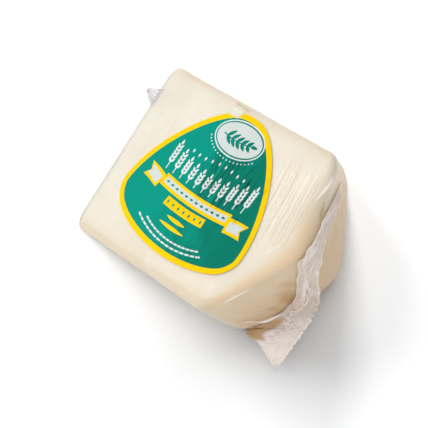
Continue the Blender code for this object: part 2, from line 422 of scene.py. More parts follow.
class Shader:
    """A node tree under construction, with short calls for its nodes."""

    def __init__(self, tree):
        self.tree = tree

    def feed(self, node, values):
        """Link outputs to a node's sockets, or set the sockets to plain values.

        values is a dict by the sockets' names or numbers, or a tuple in the sockets' order.
        """
        for name, value in values.items() if isinstance(values, dict) else enumerate(values):
            socket = node.inputs[name]
            if isinstance(value, bpy.types.NodeSocket):
                self.tree.links.new(value, socket)
            elif socket.type == "RGBA":
                socket.default_value = (*value, 1.0)
            else:
                socket.default_value = value
        return node

    def add(self, kind, values=(), **settings):
        """Add a node with its own settings, and feed it."""
        node = self.tree.nodes.new("ShaderNode" + kind)
        for name, value in settings.items():
            setattr(node, name, value)
        return self.feed(node, values)

    def math(self, operation, first, *others):
        """Combine values one after another by Math nodes."""
        for other in others:
            first = self.add("Math", (first, other), operation=operation).outputs[0]
        return first

    def stretch(self, vector, factors):
        """A vector multiplied part by part."""
        return self.add("VectorMath", (vector, factors), operation="MULTIPLY").outputs[0]

    def spread(self, value, low, high, to_low=0.0, to_high=1.0):
        """Output of a Map Range node, clamped and smooth."""
        values = (value, low, high, to_low, to_high)
        return self.add("MapRange", values, interpolation_type="SMOOTHSTEP").outputs[0]

    def mix(self, share, first, second):
        """Colour between two colours."""
        return self.add("Mix", {0: share, 6: first, 7: second}, data_type="RGBA").outputs[2]

    def noise(self, vector, scale, detail=2.0):
        """Value of a Noise Texture."""
        values = {"Vector": vector, "Scale": scale, "Detail": detail}
        return self.add("TexNoise", values).outputs["Fac"]

    def place(self):
        """The object's own coordinates, in metres."""
        return self.add("TexCoord").outputs["Object"]

    def attribute(self, name):
        """Value of a mesh attribute."""
        return self.add("Attribute", attribute_name=name).outputs["Fac"]

    def bump(self, height, distance, strength):
        """Normal bent by a height."""
        values = {"Height": height, "Distance": distance, "Strength": strength}
        return self.add("Bump", values).outputs["Normal"]


def new_material(name):
    """A Principled material, its shader node and a Shader to build it with."""
    material = bpy.data.materials.new(name)
    material.use_nodes = True
    surface = material.node_tree.nodes["Principled BSDF"]
    return material, surface, Shader(material.node_tree)


def shared_group(name, inputs, outputs, fill):
    """A node group, built once: fill(build, given) gives its outputs by name.

    inputs holds each input's default: a number, or None for a vector.
    """
    if name in bpy.data.node_groups:
        return bpy.data.node_groups[name]
    group = bpy.data.node_groups.new(name, "ShaderNodeTree")
    for socket, default in inputs.items():
        kind = "NodeSocketVector" if default is None else "NodeSocketFloat"
        made = group.interface.new_socket(socket, in_out="INPUT", socket_type=kind)
        if default is not None:
            made.default_value = default
    for socket in outputs:
        group.interface.new_socket(socket, in_out="OUTPUT", socket_type="NodeSocketFloat")
    build = Shader(group)
    given = group.nodes.new("NodeGroupInput").outputs
    build.feed(group.nodes.new("NodeGroupOutput"), fill(build, given))
    return group


def fill_crinkles(build, given):
    """Fine crinkles of taut film, drawn out along one direction of the object."""
    scales = build.add("CombineXYZ", (given["Across"], given["Along"], given["Across"]))
    height = build.noise(build.stretch(given["Vector"], scales.outputs[0]), 1.0, detail=1.5)
    return {"Height": height, "Lines": build.spread(height, 0.55, 0.72)}


def fill_planks(build, given):
    """Tone of narrow planks pressed into the label, and the dark slits between them."""
    field = build.noise(build.stretch(given["Vector"], PLANK_FINENESS), 1.0, detail=0.5)
    off_line = build.add("Math", (build.math("SUBTRACT", field, 0.56),), operation="ABSOLUTE")
    slits = build.spread(off_line.outputs[0], 0.0, 0.042, 1.0, 0.0)
    return {"Tone": build.spread(field, 0.35, 0.65), "Slits": slits}


def crinkles(build, across, along, vector=None):
    """Place the crinkle group in a material, for its outputs."""
    inputs = {"Vector": None, "Across": 600, "Along": 60}
    group = shared_group("Film crinkles", inputs, ("Height", "Lines"), fill_crinkles)
    values = {"Vector": vector or build.place(), "Across": across, "Along": along}
    return build.add("Group", values, node_tree=group).outputs


def planks(build):
    """Place the plank group in a material, for its outputs."""
    group = shared_group("Pressed planks", {"Vector": None}, ("Tone", "Slits"), fill_planks)
    return build.add("Group", {"Vector": build.place()}, node_tree=group).outputs


def pleats(build):
    """Height of long straight pleats on the upper cut face, turned in its plane."""
    turn = (0, SLICE_ANGLE, math.radians(PLEAT_TURN))
    values = {"Vector": build.place(), "Rotation": turn}
    turned = build.add("VectorRotate", values, rotation_type="EULER_XYZ").outputs[0]
    return crinkles(build, *PLEAT_FINENESS, build.stretch(turned, (1, 1, 0)))["Height"]


def cheese_material(settings):
    """Ivory paste, with the heel's tan rind and the paler rind of the flat sides fading into it, and
    painted shade.
    """
    material, surface, build = new_material("pecorino")
    patches = build.noise(build.place(), 60, detail=3)
    pores = build.noise(build.place(), 900)
    patchy = build.spread(patches, 0.3, 0.7)
    # Painted shade: the heel's rind darkens lower on the heel, with random patches
    deep = build.math("ADD", build.attribute("deep"), build.spread(patches, 0.3, 0.7, -0.12, 0.12))
    rind = build.mix(deep, settings.rind_color, settings.rind_painted_shade)
    skin = build.mix(patchy, settings.paste_color, settings.paste_shade)
    # The side share also holds painted shade towards the heel, the low-Y side and along its crease
    skin = build.mix(build.attribute("side"), skin, settings.side_rind_and_shade)
    skin = build.mix(build.attribute("rind"), skin, rind)
    relief = build.math("ADD", build.math("MULTIPLY", pores, 0.3), patches)
    build.feed(surface, {
        "Base Color": build.mix(build.attribute("cleft"), skin, settings.cleft_color),
        "Roughness": build.spread(patches, 0.2, 0.8, 0.45, 0.6),
        "Subsurface Weight": settings.softness,
        "Subsurface Radius": (1.0, 0.6, 0.35),
        "Subsurface Scale": 3 * MM,
        "Normal": build.bump(relief, 0.15 * MM, 0.4),
    })
    return material


def film_material(name, tint, hides, crinkle, roughness=0.3, shadow=0.15, ior=1.4):
    """Clear film: see-through, with a milky haze along its folds, that casts a light shadow.

    hides is how much smooth film and sharp folds hide, and crinkle is how fine the crinkles are
    across and along. Where the "tan" attribute is high, the film takes the colour of the cheese
    pressed against it, with painted shade.
    """
    material, surface, build = new_material(name)
    taut = crinkles(build, *crinkle)
    fine = pleats(build)
    pleated = build.attribute("pleated")
    # Painted highlights on the crests of the fine pleats, and painted shade in the hollows between
    # them
    crest_highlights = build.spread(fine, 0.42, 0.60)
    hollows = build.math("MULTIPLY", pleated, build.math("SUBTRACT", 1.0, crest_highlights))
    fine = build.math("MULTIPLY", fine, build.math("MULTIPLY", pleated, 0.35))
    lines = build.math("MULTIPLY", taut["Lines"], 0.2)
    lines = build.math("MAXIMUM", lines, build.math("MULTIPLY", crest_highlights, pleated))
    cloud = build.noise(build.place(), 140)
    # Painted reflection: the film turns milky where it is seen at a grazing angle
    rim = build.spread(build.add("LayerWeight").outputs["Facing"], 0.75, 1.0, 0.0, 0.18)
    haze = build.math("MAXIMUM", build.attribute("haze"), lines, hollows)
    haze = build.math("ADD", haze, build.spread(cloud, 0.45, 0.75, 0.0, 0.12), rim)
    rays = build.add("LightPath").outputs["Is Shadow Ray"]
    shadowed = build.spread(rays, 0.0, 1.0, 1.0, shadow)
    milky = build.mix(haze, tint, [min(1.0, part * 1.06) for part in tint])
    milky = build.mix(build.math("MULTIPLY", hollows, 1.8), milky, PLEAT_HOLLOW_SHADE)
    build.feed(surface, {
        "Base Color": build.mix(build.attribute("tan"), milky, PRESSED_CHEESE_AND_SHADE),
        "Alpha": build.math("MULTIPLY", build.spread(haze, 0.0, 1.0, *hides), shadowed),
        "Roughness": build.spread(cloud, 0.2, 0.8, roughness, roughness * 1.6),
        "IOR": ior,
        "Normal": build.bump(build.math("ADD", taut["Height"], fine), 0.25 * MM, 0.5),
    })
    return material


def print_material(name, ink, ink_shade, slit_ink):
    """Printed film, with painted shade towards the heel, and planks and slits where it is pressed."""
    material, surface, build = new_material(name)
    pressed = build.attribute("pressed")
    plank = planks(build)
    cloud = build.noise(build.place(), 90, detail=3)
    x = build.add("SeparateXYZ", (build.place(),)).outputs["X"]
    # Painted shade: the print darkens towards the heel
    by_heel = build.spread(x, -40 * MM, 8 * MM, -0.12, 0.45)
    by_plank = build.math("MULTIPLY", plank["Tone"], build.math("ADD", pressed, 0.25))
    by_plank = build.math("MULTIPLY", by_plank, 0.5)
    shade = build.math("ADD", build.math("MULTIPLY", cloud, 0.5), by_plank, by_heel)
    tone = build.mix(build.spread(shade, 0.25, 0.75), ink, ink_shade)
    dark = build.math("MULTIPLY", plank["Slits"], pressed)
    height = crinkles(build, *PRINT_CRINKLE)["Height"]
    relief = build.math("SUBTRACT", height, build.math("MULTIPLY", dark, 0.8))
    build.feed(surface, {
        "Base Color": build.mix(dark, tone, slit_ink),
        "Roughness": build.spread(cloud, 0.3, 0.7, 0.38, 0.5),
        "Specular IOR Level": 0.04,
        "Normal": build.bump(relief, 0.2 * MM, 0.5),
    })
    return material


# ---------------- settings


def amount(name, description, default, **kind):
    """An amount from 0 up that a user may change."""
    return bpy.props.FloatProperty(
        name=name, description=description, default=default, min=0, **kind
    )


length = partial(amount, unit="LENGTH", precision=5)
power = partial(amount, unit="POWER")
fraction = partial(amount, max=1, subtype="FACTOR")


def paint(name, description, default):
    """A colour that a user may change."""
    return bpy.props.FloatVectorProperty(
        name=name, description=description, default=default, min=0, max=1, size=3, subtype="COLOR"
    )


class CheeseSettings(bpy.types.PropertyGroup):
    """Look of the cheese inside the film."""

    paste_color: paint("Paste", "Colour of the cut cheese", (0.73, 0.69, 0.59))
    paste_shade: paint("Paste shade", "Its darker patches", (0.70, 0.65, 0.54))
    # The side rind's colour also paints shade towards the heel, the low-Y side and along the crease
    # there
    side_rind_and_shade: paint("Side rind", "Colour of the rind on the flat sides", (0.64, 0.54, 0.39))
    rind_color: paint("Heel rind", "Colour of the rind at the heel's edge", (0.74, 0.575, 0.365))
    # Painted shade of the heel's rind, lower on the heel
    rind_painted_shade: paint("Heel rind shade", "Its colour lower on the heel", (0.64, 0.44, 0.235))
    cleft_color: paint("Clefts", "Golden rind in the clefts beside the seal", (0.50, 0.27, 0.05))
    rind_depth: length("Rind depth", "Depth over which the heel's rind fades in", 4.2 * MM)
    side_depth: length("Side depth", "Depth over which the side rind fades in", 3.4 * MM)
    film_gap: length("Film gap", "Gap between the cheese and the film", 0.35 * MM)
    softness: fraction("Softness", "How far light sinks into the cheese", 0.2)


class FilmSettings(bpy.types.PropertyGroup):
    """Look of the taut clear film."""

    tint: paint("Tint", "Colour of the film's haze", (0.90, 0.85, 0.79))
    haze: fraction("Haze", "How much the smooth film hides", 0.10)
    fold_haze: fraction("Fold haze", "How much a sharp fold hides", 0.75)
    roughness: fraction("Roughness", "Roughness of the film", 0.22)


class SealSettings(bpy.types.PropertyGroup):
    """The crinkled end seal and the free corner of the bag."""

    tint: paint("Tint", "Colour of the gathered film", (0.90, 0.815, 0.76))
    haze: fraction("Haze", "How much the gathered film hides", 0.32)
    fold_haze: fraction("Fold haze", "How much its sharp folds hide", 0.95)
    crumple: length("Crumple", "Height of the crumples", 1.1 * MM)
    thickness: length("Thickness", "Thickness of the welded film", 0.22 * MM)
    corner_tint: paint("Corner tint", "Colour of the bag's free corner", (0.70, 0.68, 0.69))


class LabelSettings(bpy.types.PropertyGroup):
    """The printed label and the clear patch over its upper edge."""

    green: paint("Green", "Field of the label", (0.0, 0.28, 0.205))
    # The shade inks also carry the print's painted shade towards the heel
    green_shade: paint("Green shade", "Darker parts of the field", (0.0, 0.17, 0.115))
    green_slit: paint("Green slit", "Slits between the planks", (0.0, 0.055, 0.045))
    yellow: paint("Yellow", "Border, ribbon edge and strip", (0.92, 0.585, 0.0))
    white: paint("White", "Ring, ears and small marks", (0.70, 0.74, 0.73))
    pale: paint("Pale", "Fields of the oval and the ribbon", (0.60, 0.655, 0.635))
    patch_tint: paint("Patch tint", "Colour of the clear patch", (0.68, 0.68, 0.57))
    border: length("Border", "Width of the yellow border", 2.2 * MM)
    thickness: length("Thickness", "Thickness of the label", 0.15 * MM)
    film_gap: length("Film gap", "Gap between the film and the label", 0.08 * MM)
    layer: length("Print layer", "Height of each layer of print over the last", 0.03 * MM)
    cell: length("Cell", "Size of the cells that the print is cut into", 0.7 * MM)


class StageSettings(bpy.types.PropertyGroup):
    """Floor, light and camera."""

    floor: paint("Floor", "Colour of the floor", (0.955, 0.965, 0.975))
    world: amount("World", "Strength of the light from all round", 0.36)
    key: power("Key", "Power of the lamp over the thin edge", 13.9)
    fill: power("Fill", "Power of the lamp before the heel", 3.5)
    floor_key: power("Floor key", "Power of the main lamp that draws the shadow", 14.3)


# ---------------- cheese

# A painted line of shade along the crease beside the flat side at low Y: how far in from that side,
# and its width
SIDE_CREASE_SHADE_DEPTH = 1.9 * MM
SIDE_CREASE_SHADE_WIDTH = 0.4 * MM


class PACK_OT_cheese(bpy.types.Operator):
    """Make the wedge of cheese inside the film"""

    bl_idname = "pecorino_pack.cheese"
    bl_label = "Cheese"

    def execute(self, context):
        settings = context.scene.pecorino_cheese
        cheese = gridded_cube(72, heel_cuts=1)
        places = lay_on_wedge(cheese, settings.film_gap)
        _, clefts = fold_relief(CLEFTS, [laid_flat(place) for place in places])
        rind, deep, side = zip(*(self.rinds(settings, *place) for place in places))
        store(cheese, rind=rind, deep=deep, side=side, cleft=clefts)
        finish_piece("cheese", cheese, cheese_material(settings))
        return {"FINISHED"}

    def rinds(self, settings, along, across, rise):
        """Shares of the heel's rind, of its painted shade lower down, and of the flat sides' rind with
        painted shade.
        """
        below_heel = (1 - along) * WHEEL_RADIUS
        below_side = (1 - abs(across)) * HALF_HEIGHT
        late = smooth_step(0.1, 0.75, across) * smooth_step(0.45, 0.9, rise)
        rind = math.exp(-((below_heel / settings.rind_depth) ** 1.5)) * (1 - 0.8 * late)
        edge = math.exp(-((below_side / settings.side_depth) ** 1.2))
        # Painted shade: the cheese darkens towards the heel and towards the low-Y side
        painted_falloff = 0.16 * smooth_step(0.45, 0.95, along) + 0.2 * smooth_step(-0.2, -0.9, across)
        # A painted dark line of shade along the crease at the low-Y side
        off_crease = (below_side - SIDE_CREASE_SHADE_DEPTH) / SIDE_CREASE_SHADE_WIDTH
        crease = 0.5 * math.exp(-(off_crease**2)) * (across < 0)
        side = clamp(edge * (0.55 if across > 0 else 0.85) + painted_falloff + crease)
        return rind, smooth_step(0.85, -0.15, rise), side


# ---------------- film


class PACK_OT_film(bpy.types.Operator):
    """Make the taut clear film with its pleats and creases"""

    bl_idname = "pecorino_pack.film"
    bl_label = "Film"

    def execute(self, context):
        settings = context.scene.pecorino_film
        skin = gridded_cube(54, face_cuts=3, heel_cuts=1)
        places = lay_on_wedge(skin, 0.0)
        flat = [laid_flat(place) for place in places]
        height, haze = fold_relief(FILM_FOLDS, flat)
        skin.normal_update()
        for vert, lift in zip(skin.verts, height):
            vert.co += vert.normal * lift
        haze = [max(milk, self.heel_haze(*place)) for milk, place in zip(haze, places)]
        store(skin, haze=haze, pleated=[pleated_share(*place) for place in flat])
        material = film_material(
            "clear_film", settings.tint, hides=(settings.haze, settings.fold_haze),
            crinkle=(420, 45), roughness=settings.roughness,
        )
        finish_piece("film_skin", skin, material, ["film_pack"])
        return {"FINISHED"}

    def heel_haze(self, along, across, rise):
        """Soft haze of the film on the heel, on the seal's upper side and away from the cut face."""
        on_heel = smooth_step(0.97, 1.0, along) * (1 - smooth_step(0.35, 0.9, rise))
        return 0.16 * on_heel * smooth_step(0.0, 0.45, across)


# ---------------- end seal and bag corner

# The long edges of the seal, as in the solids: height y, degrees round the wheel, stand-off
SEAL_UPPER_EDGE = course(
    (0.0300, 25.0, 0.0), (0.0170, 31.0, 0.0), (0.0080, 33.0, 0.0), (-0.0030, 34.5, 0.0),
    (-0.0120, 25.5, 0.0), (-0.0200, 16.0, 0.0), (-0.0310, 7.8, -0.0004), (-0.0362, 5.2, -0.0010),
    (-0.0376, 3.3, 0.0066), (-0.0404, 2.5, 0.0140), (-0.0418, 2.1, 0.0181),
)
SEAL_LOWER_EDGE = course(
    (0.0285, 22.5, 0.0), (0.0187, 26.0, 0.0), (0.0093, 28.0, 0.0), (-0.0017, 25.7, 0.0),
    (-0.0074, 17.6, 0.0011), (-0.0155, 8.3, 0.0052), (-0.0195, 6.4, 0.0084), (-0.0255, 4.8, 0.0115),
    (-0.0320, 3.5, 0.0147), (-0.0380, 2.6, 0.0180), (-0.0412, 2.2, 0.0195),
)
# Where along the seal its tail comes free of the heel, and over what share it parts from it
SEAL_FREE_FROM = 0.58
SEAL_PARTING = 0.15
# Course of the ruffle through the seal: shares along and across it
RUFFLE_COURSE = course(
    (0.25, 0.88), (0.30, 0.78), (0.36, 0.62), (0.42, 0.50), (0.475, 0.56), (0.52, 0.70),
    (0.565, 0.52), (0.61, 0.39), (0.65, 0.35), (0.69, 0.36), (0.73, 0.47), (0.77, 0.60),
)
RUFFLE_WAVES = 12
# Course of the hem on the heel: height y, rise on the cube's skin, and how far it stands off
HEM_COURSE = course(
    (-0.0360, 0.05, 0.0002), (-0.0320, 0.0, 0.0013), (-0.0295, -0.2, 0.0023),
    (-0.0255, -0.3, 0.0018), (-0.0220, -0.4, 0.0010), (-0.0180, -0.4, 0.0006),
)
# Seed of the noise that bends the fin's crumple
CRUMPLE_SEED = 1
# Height of the hollows of crumpled film over what they lie on
HOLLOW_HEIGHT = 0.3 * MM

# The bag's corner, as in the solids: its middle line, its width and its height
CORNER_ROOT_X = 8.5 * MM
CORNER_TIP_X = -3.3 * MM
CORNER_ROOT_Y = 20.6 * MM
CORNER_TIP_Y = 22.8 * MM
CORNER_HALF_WIDTH = 8.8 * MM
CORNER_TAPER = 0.9
CORNER_REST_HEIGHT = 0.6 * MM
CORNER_RISE = 1.4 * MM
CORNER_CRUMPLE = 0.5 * MM


def seal_point(across, along, above):
    """Point of the seal, above its sheet, at a share across it and along it."""
    place = smooth_path(SEAL_LOWER_EDGE, along).lerp(smooth_path(SEAL_UPPER_EDGE, along), across)
    free = smooth_step(SEAL_FREE_FROM - SEAL_PARTING, SEAL_FREE_FROM, along)
    outward = away_from_axis(math.radians(place.y)).lerp(Vector((0, 0, 1)), free)
    return near_heel(place) + outward.normalized() * above


def ridges(place, sharpness):
    """Noise that stands up in sharp ridges of height 1."""
    return 1 - abs(noise.noise(place)) * sharpness


def crumple(across, along):
    """Sharp-ridged crumple of gathered film, 0..1."""
    place = Vector((across * 3.2, along * 22.0, 0))
    bent = noise.noise_vector(place * 0.6) * 0.8
    return clamp(0.65 * ridges(place + bent, 2.2) + 0.35 * ridges(place * 2.3 + bent, 2.2))


def streaks(across, along):
    """Lengthwise streaks of drawn film, 0..1."""
    place = Vector((across * 6.5 + 0.8 * math.sin(along * 9), along * 6.0, 2.6))
    return clamp(ridges(place, 3.0))


def add_sheet(pack, columns, steps, point, haze_of, thickness, tan_of=None):
    """Add a closed sheet to a bmesh: a grid laid on point(across, along), with its wall.

    haze_of and tan_of give how milky it is, and how much the pressed cheese colours it.
    """
    haze_layer = pack.verts.layers.float.get("haze") or pack.verts.layers.float.new("haze")
    tan_layer = pack.verts.layers.float.get("tan") or pack.verts.layers.float.new("tan")
    before = len(pack.faces)
    made = bmesh.ops.create_grid(pack, x_segments=columns, y_segments=steps, size=1)["verts"]
    faces = list(pack.faces)[before:]
    for vert in made:
        across, along = (1 + vert.co.x) / 2, (1 + vert.co.y) / 2
        vert.co = point(across, along)
        vert[haze_layer] = haze_of(across, along)
        vert[tan_layer] = tan_of(across, along) if tan_of else 0.0
    bmesh.ops.recalc_face_normals(pack, faces=faces)
    for face in faces:
        face.normal_update()
    bmesh.ops.solidify(pack, geom=faces, thickness=thickness)


class PACK_OT_seal(bpy.types.Operator):
    """Make the crinkled end seal with its ruffle and its free tail"""

    bl_idname = "pecorino_pack.seal"
    bl_label = "End seal"

    def execute(self, context):
        settings = context.scene.pecorino_seal
        noise.seed_set(CRUMPLE_SEED)
        seal = bmesh.new()
        self.add_fin(seal, settings)
        self.add_ruffle(seal, settings)
        self.add_hem(seal, settings)
        material = film_material(
            "gathered_film", settings.tint, hides=(settings.haze, settings.fold_haze),
            crinkle=(700, 260), shadow=0.35, ior=1.5,
        )
        finish_piece("end_seal", seal, material, ["film_pack"], sharp=60)
        return {"FINISHED"}

    def add_fin(self, seal, settings):
        """The crumpled fin on the heel and its tail, with a ragged outline."""

        def point(across, along):
            ragged = 0.10 * noise.noise(Vector((along * 34, 5.1, across * 2)))
            spread = (across - 0.5) * (1 + 2 * ragged) + 0.5
            loose = 0.35 + 0.65 * smooth_step(0.3, 0.55, along) - 0.45 * smooth_step(0.65, 0.8, along)
            drawn = streaks(across, along) * (1 - smooth_step(0.4, 0.6, along))
            above = settings.crumple * (loose * crumple(across, along) + 0.5 * drawn)
            return seal_point(spread, along, HOLLOW_HEIGHT + above * smooth_step(0, 0.05, along))

        def haze(across, along):
            edge = smooth_step(0.44, 0.5, abs(across - 0.5))
            ridge = smooth_step(0.78, 0.98, crumple(across, along))
            ridge *= 0.3 + 0.6 * smooth_step(0.25, 0.4, along) - 0.6 * smooth_step(0.7, 0.85, along)
            drawn = smooth_step(0.6, 0.95, streaks(across, along))
            drawn *= 1 - smooth_step(0.4, 0.6, along)
            puffy = 0.38 * smooth_step(0.5, 0.85, along) + 0.2 * (1 - smooth_step(0.25, 0.4, along))
            milk = 0.2 + puffy + 0.3 * ridge + 0.4 * drawn + 0.35 * edge
            return clamp(max(milk * smooth_step(-0.02, 0.1, along), self.pressed(across, along)))

        add_sheet(seal, 36, 280, point, haze, settings.thickness, self.pressed)

    def pressed(self, across, along):
        """How much the cheese colours the fin, with painted shade: on the gathered ledge under the
        heel, and beside it.
        """
        limit = 0.57 + 1.8 * max(0, along - 0.65) + 1.5 * max(0, 0.61 - along)
        ledge = plateau(0.52, 0.57, 0.75, 0.78, along)
        ledge *= smooth_step(limit - 0.06, limit + 0.06, across)
        return ledge + 0.32 * plateau(0.40, 0.46, 0.50, 0.58, along) * (1 - ledge)

    def add_ruffle(self, seal, settings):
        """A wavy lace of film that stands on the fin."""

        def point(across, along):
            place = smooth_path(RUFFLE_COURSE, along)
            wave = along * RUFFLE_WAVES * math.tau
            settled = smooth_step(0, 0.3, along)
            sway = 0.11 * math.sin(wave) * (0.3 + 0.7 * across) * (0.3 + 0.7 * settled)
            slip = 0.007 * math.sin(2 * wave + 0.8) * across
            unevenness = 0.7 + 0.5 * noise.noise(Vector((along * 12, 0, 8.1)))
            above = (0.7 + 1.3 * across * unevenness * settled) * MM
            return seal_point(place.y + sway * unevenness + 0.035 * across, place.x + slip, above)

        def haze(across, along):
            return 0.5 + 0.5 * across

        add_sheet(seal, 5, 420, point, haze, settings.thickness)

    def add_hem(self, seal, settings):
        """A long soft fold that stands off the heel, from its lower corner up to the fin."""

        def point(across, along):
            y, rise, stand_off = smooth_path(HEM_COURSE, along)
            root = wedge_point(1.0, y / HALF_HEIGHT, rise)
            outward = Vector((root.x + AXIS_TO_ORIGIN, 0, root.z)).normalized()
            hang = HOLLOW_HEIGHT * math.sin(math.pi * across) - stand_off * across**1.5
            return root + outward * (0.1 * MM + 0.8 * stand_off * across) + Vector((0, 0, hang))

        def haze(across, along):
            return 0.6 + 0.3 * math.sin(math.pi * across)

        add_sheet(seal, 8, 60, point, haze, settings.thickness)


class PACK_OT_ear(bpy.types.Operator):
    """Make the free corner of the bag beside the thin edge"""

    bl_idname = "pecorino_pack.ear"
    bl_label = "Bag corner"

    def execute(self, context):
        settings = context.scene.pecorino_seal
        corner = bmesh.new()
        add_sheet(corner, 30, 24, self.point, self.haze, settings.thickness)
        material = film_material(
            "loose_film", settings.corner_tint, hides=(0.35, 0.9), crinkle=(500, 200), shadow=0.5
        )
        finish_piece("bag_corner", corner, material, ["film_pack"], sharp=60)
        return {"FINISHED"}

    def folds(self, across, along):
        """Folds that run out from the corner's root."""
        return ridges(Vector((across * 5.5, along * 1.8, 3.7)), 2.4)

    def point(self, across, along):
        """Place of the corner's film, which rises towards its tip."""
        half_width = CORNER_HALF_WIDTH * (1 - CORNER_TAPER * along)
        clear = smooth_step(0.55, 0.85, along)
        above = (CORNER_RISE + CORNER_CRUMPLE * self.folds(across, along)) * clear
        return Vector((
            between(CORNER_ROOT_X, CORNER_TIP_X, along) - AXIS_TO_ORIGIN,
            between(CORNER_ROOT_Y, CORNER_TIP_Y, along) + half_width * (2 * across - 1),
            CORNER_REST_HEIGHT + HOLLOW_HEIGHT + above,
        ))

    def haze(self, across, along):
        """Haze of the corner's film, along its folds and at its tip."""
        fold = smooth_step(0.7, 1.0, self.folds(across, along))
        return clamp(0.3 + 0.5 * fold + 0.5 * smooth_step(0.85, 1.0, along))


# ---------------- label

# Sizes of the print in millimetres, from the middle of the label
OVAL_MIDDLE = (1.2, 24.8)
OVAL_RADII = (12.2, 7.6)
OVAL_RING = 0.55
OVAL_FIELD_INSET = 1.15
RIBBON_EDGE = 1.2
RIBBON_MARKS_INSET = 1.4
RIBBON_HALF_WIDTH = 2.55
TAIL_HALF_WIDTH = 3.1
# The ribbon's tails: root, tip, and the side of the ribbon that they are on
TAILS = (((-19.2, -3.6), (-28.6, -1.2), -1), ((19.6, -4.9), (29.0, -4.4), 1))
# The strip under the ribbon: start, end and sag
STRIP = ((-11.6, -8.4), (10.6, -9.0), 0.6)
# Two pointed bars under the strip: height and half length
BARS = ((-13.2, 5.2), (-16.2, 7.0))
# The frieze: how many ears, from where to where, and a grain's length and width
EARS = 11
FRIEZE = (-20.8, 21.8)
GRAIN = (2.1, 1.0)
# Small marks: beads under the oval over a range of degrees, and lozenges over the frieze
BEADS = 17
BEAD_ARC = (-158, -36)
BEAD_OFFSET = (1.5, 1.3)
LOZENGES = 9
# Low arcs of dashes: half the height of the arc's ellipse, and its first and last degrees
DASHED_ARCS = ((24.0, -128, -60), (22.0, -122, -62))
DASHES = 15
# The sprig in the oval: where its stem starts and ends, from the oval's middle, and its sag
SPRIG_FROM, SPRIG_TO, SPRIG_SAG = -8.0, 6.2, 0.9
# Thickness of a layer of print, in layer heights, so that it reaches down into the one below
LAYER_OVERLAP = 1.5

# The clear patch over the label's upper edge: two corners, its lean, and the line of the painted fold
# shadow along its upper edge
PATCH_LOW = (-9.8, 31.6)
PATCH_HIGH = (-4.0, 36.4)
PATCH_LEAN = 1.0
PATCH_SHADOW_LINE = ((PATCH_LOW[0] - 0.4, PATCH_HIGH[1] + 0.3), (PATCH_HIGH[0] + 0.2, PATCH_HIGH[1]))
PATCH_BULGE = 0.5 * MM
PATCH_THICKNESS = 0.1 * MM
# Brown inks of the painted fold shadow: plain, shaded and in slits
PATCH_SHADOW_INKS = ((0.58, 0.42, 0.24), (0.66, 0.54, 0.36), (0.4, 0.26, 0.12))


def label_outline(angle, border):
    """Point of the label's outline, drawn in by a border, whose outward direction has this angle."""
    corner = 3 * (angle - LABEL_CORNER_ANGLE)
    stretch = 2 * (angle - LABEL_STRETCH_ANGLE)
    support = (
        LABEL_MEAN_RADIUS
        - border
        + LABEL_CORNER_RISE * math.cos(corner)
        - LABEL_CORNER_ROUNDING * math.cos(2 * corner)
        + LABEL_STRETCH * math.cos(stretch)
    )
    slope = (
        -3 * LABEL_CORNER_RISE * math.sin(corner)
        + 6 * LABEL_CORNER_ROUNDING * math.sin(2 * corner)
        - 2 * LABEL_STRETCH * math.sin(stretch)
    )
    return (
        support * math.cos(angle) - slope * math.sin(angle),
        support * math.sin(angle) + slope * math.cos(angle),
    )


def draw_disc(flat, segments, place):
    """Draw a disc, and move each of its points, from -1 to 1, to place(x, y)."""
    for vert in bmesh.ops.create_circle(flat, cap_ends=True, segments=segments, radius=1)["verts"]:
        vert.co.x, vert.co.y = place(vert.co.x, vert.co.y)


def draw_outline(flat, border=0.0):
    """Draw the label's own shape, drawn in by a border."""
    draw_disc(flat, 150, lambda x, y: label_outline(math.atan2(y, x), border))


def draw_ellipse(flat, middle, radii, segments):
    """Draw an upright ellipse; radii and middle in millimetres."""

    def place(x, y):
        return (middle[0] + radii[0] * x) * MM, (middle[1] + radii[1] * y) * MM

    draw_disc(flat, segments, place)


def draw_leaf(flat, root, size, turn):
    """Draw a pointed leaf from its root; size is its length and width in millimetres."""
    cos, sin = math.cos(math.radians(turn)), math.sin(math.radians(turn))

    def place(x, y):
        along = (1 + x) / 2 * size[0]
        aside = y * (1 - 0.35 * x) * abs(y) ** 0.35 * size[1] / 2
        return (root[0] + along * cos - aside * sin) * MM, (root[1] + along * sin + aside * cos) * MM

    draw_disc(flat, 14, place)


def bowed(start, end, sag=0.0):
    """A line from start to end that sags in its middle, as a function of the share along it."""
    return lambda share: (
        Vector(start).lerp(Vector(end), share) - Vector((0, 4 * sag * share * (1 - share)))
    )


def draw_band(flat, line, half_width, steps=24, notch=0.0):
    """Draw a band along line(share), in millimetres, notched at its end.

    half_width is a number, or a function of the share along the line.
    """
    for vert in bmesh.ops.create_grid(flat, x_segments=steps, y_segments=2, size=1)["verts"]:
        share, side = (1 + vert.co.x) / 2, vert.co.y
        share -= notch * share**6 * (1 - abs(side))
        here, ahead = Vector(line(share)), Vector(line(share + 0.01))
        run = (ahead - here).normalized()
        reach = half_width(share) if callable(half_width) else half_width
        place = here + Vector((-run.y, run.x)) * side * reach
        vert.co = (place.x * MM, place.y * MM, 0)


def draw_oval(flat, inset=0.0):
    """Draw the oval, drawn in by an inset."""
    draw_ellipse(flat, OVAL_MIDDLE, [radius - inset for radius in OVAL_RADII], 56)


def ribbon_line(trim):
    """Middle line of the ribbon, trimmed at both ends."""
    return bowed((-18.6 + trim, -1.9), (19.7 - trim, -3.0), 1.3)


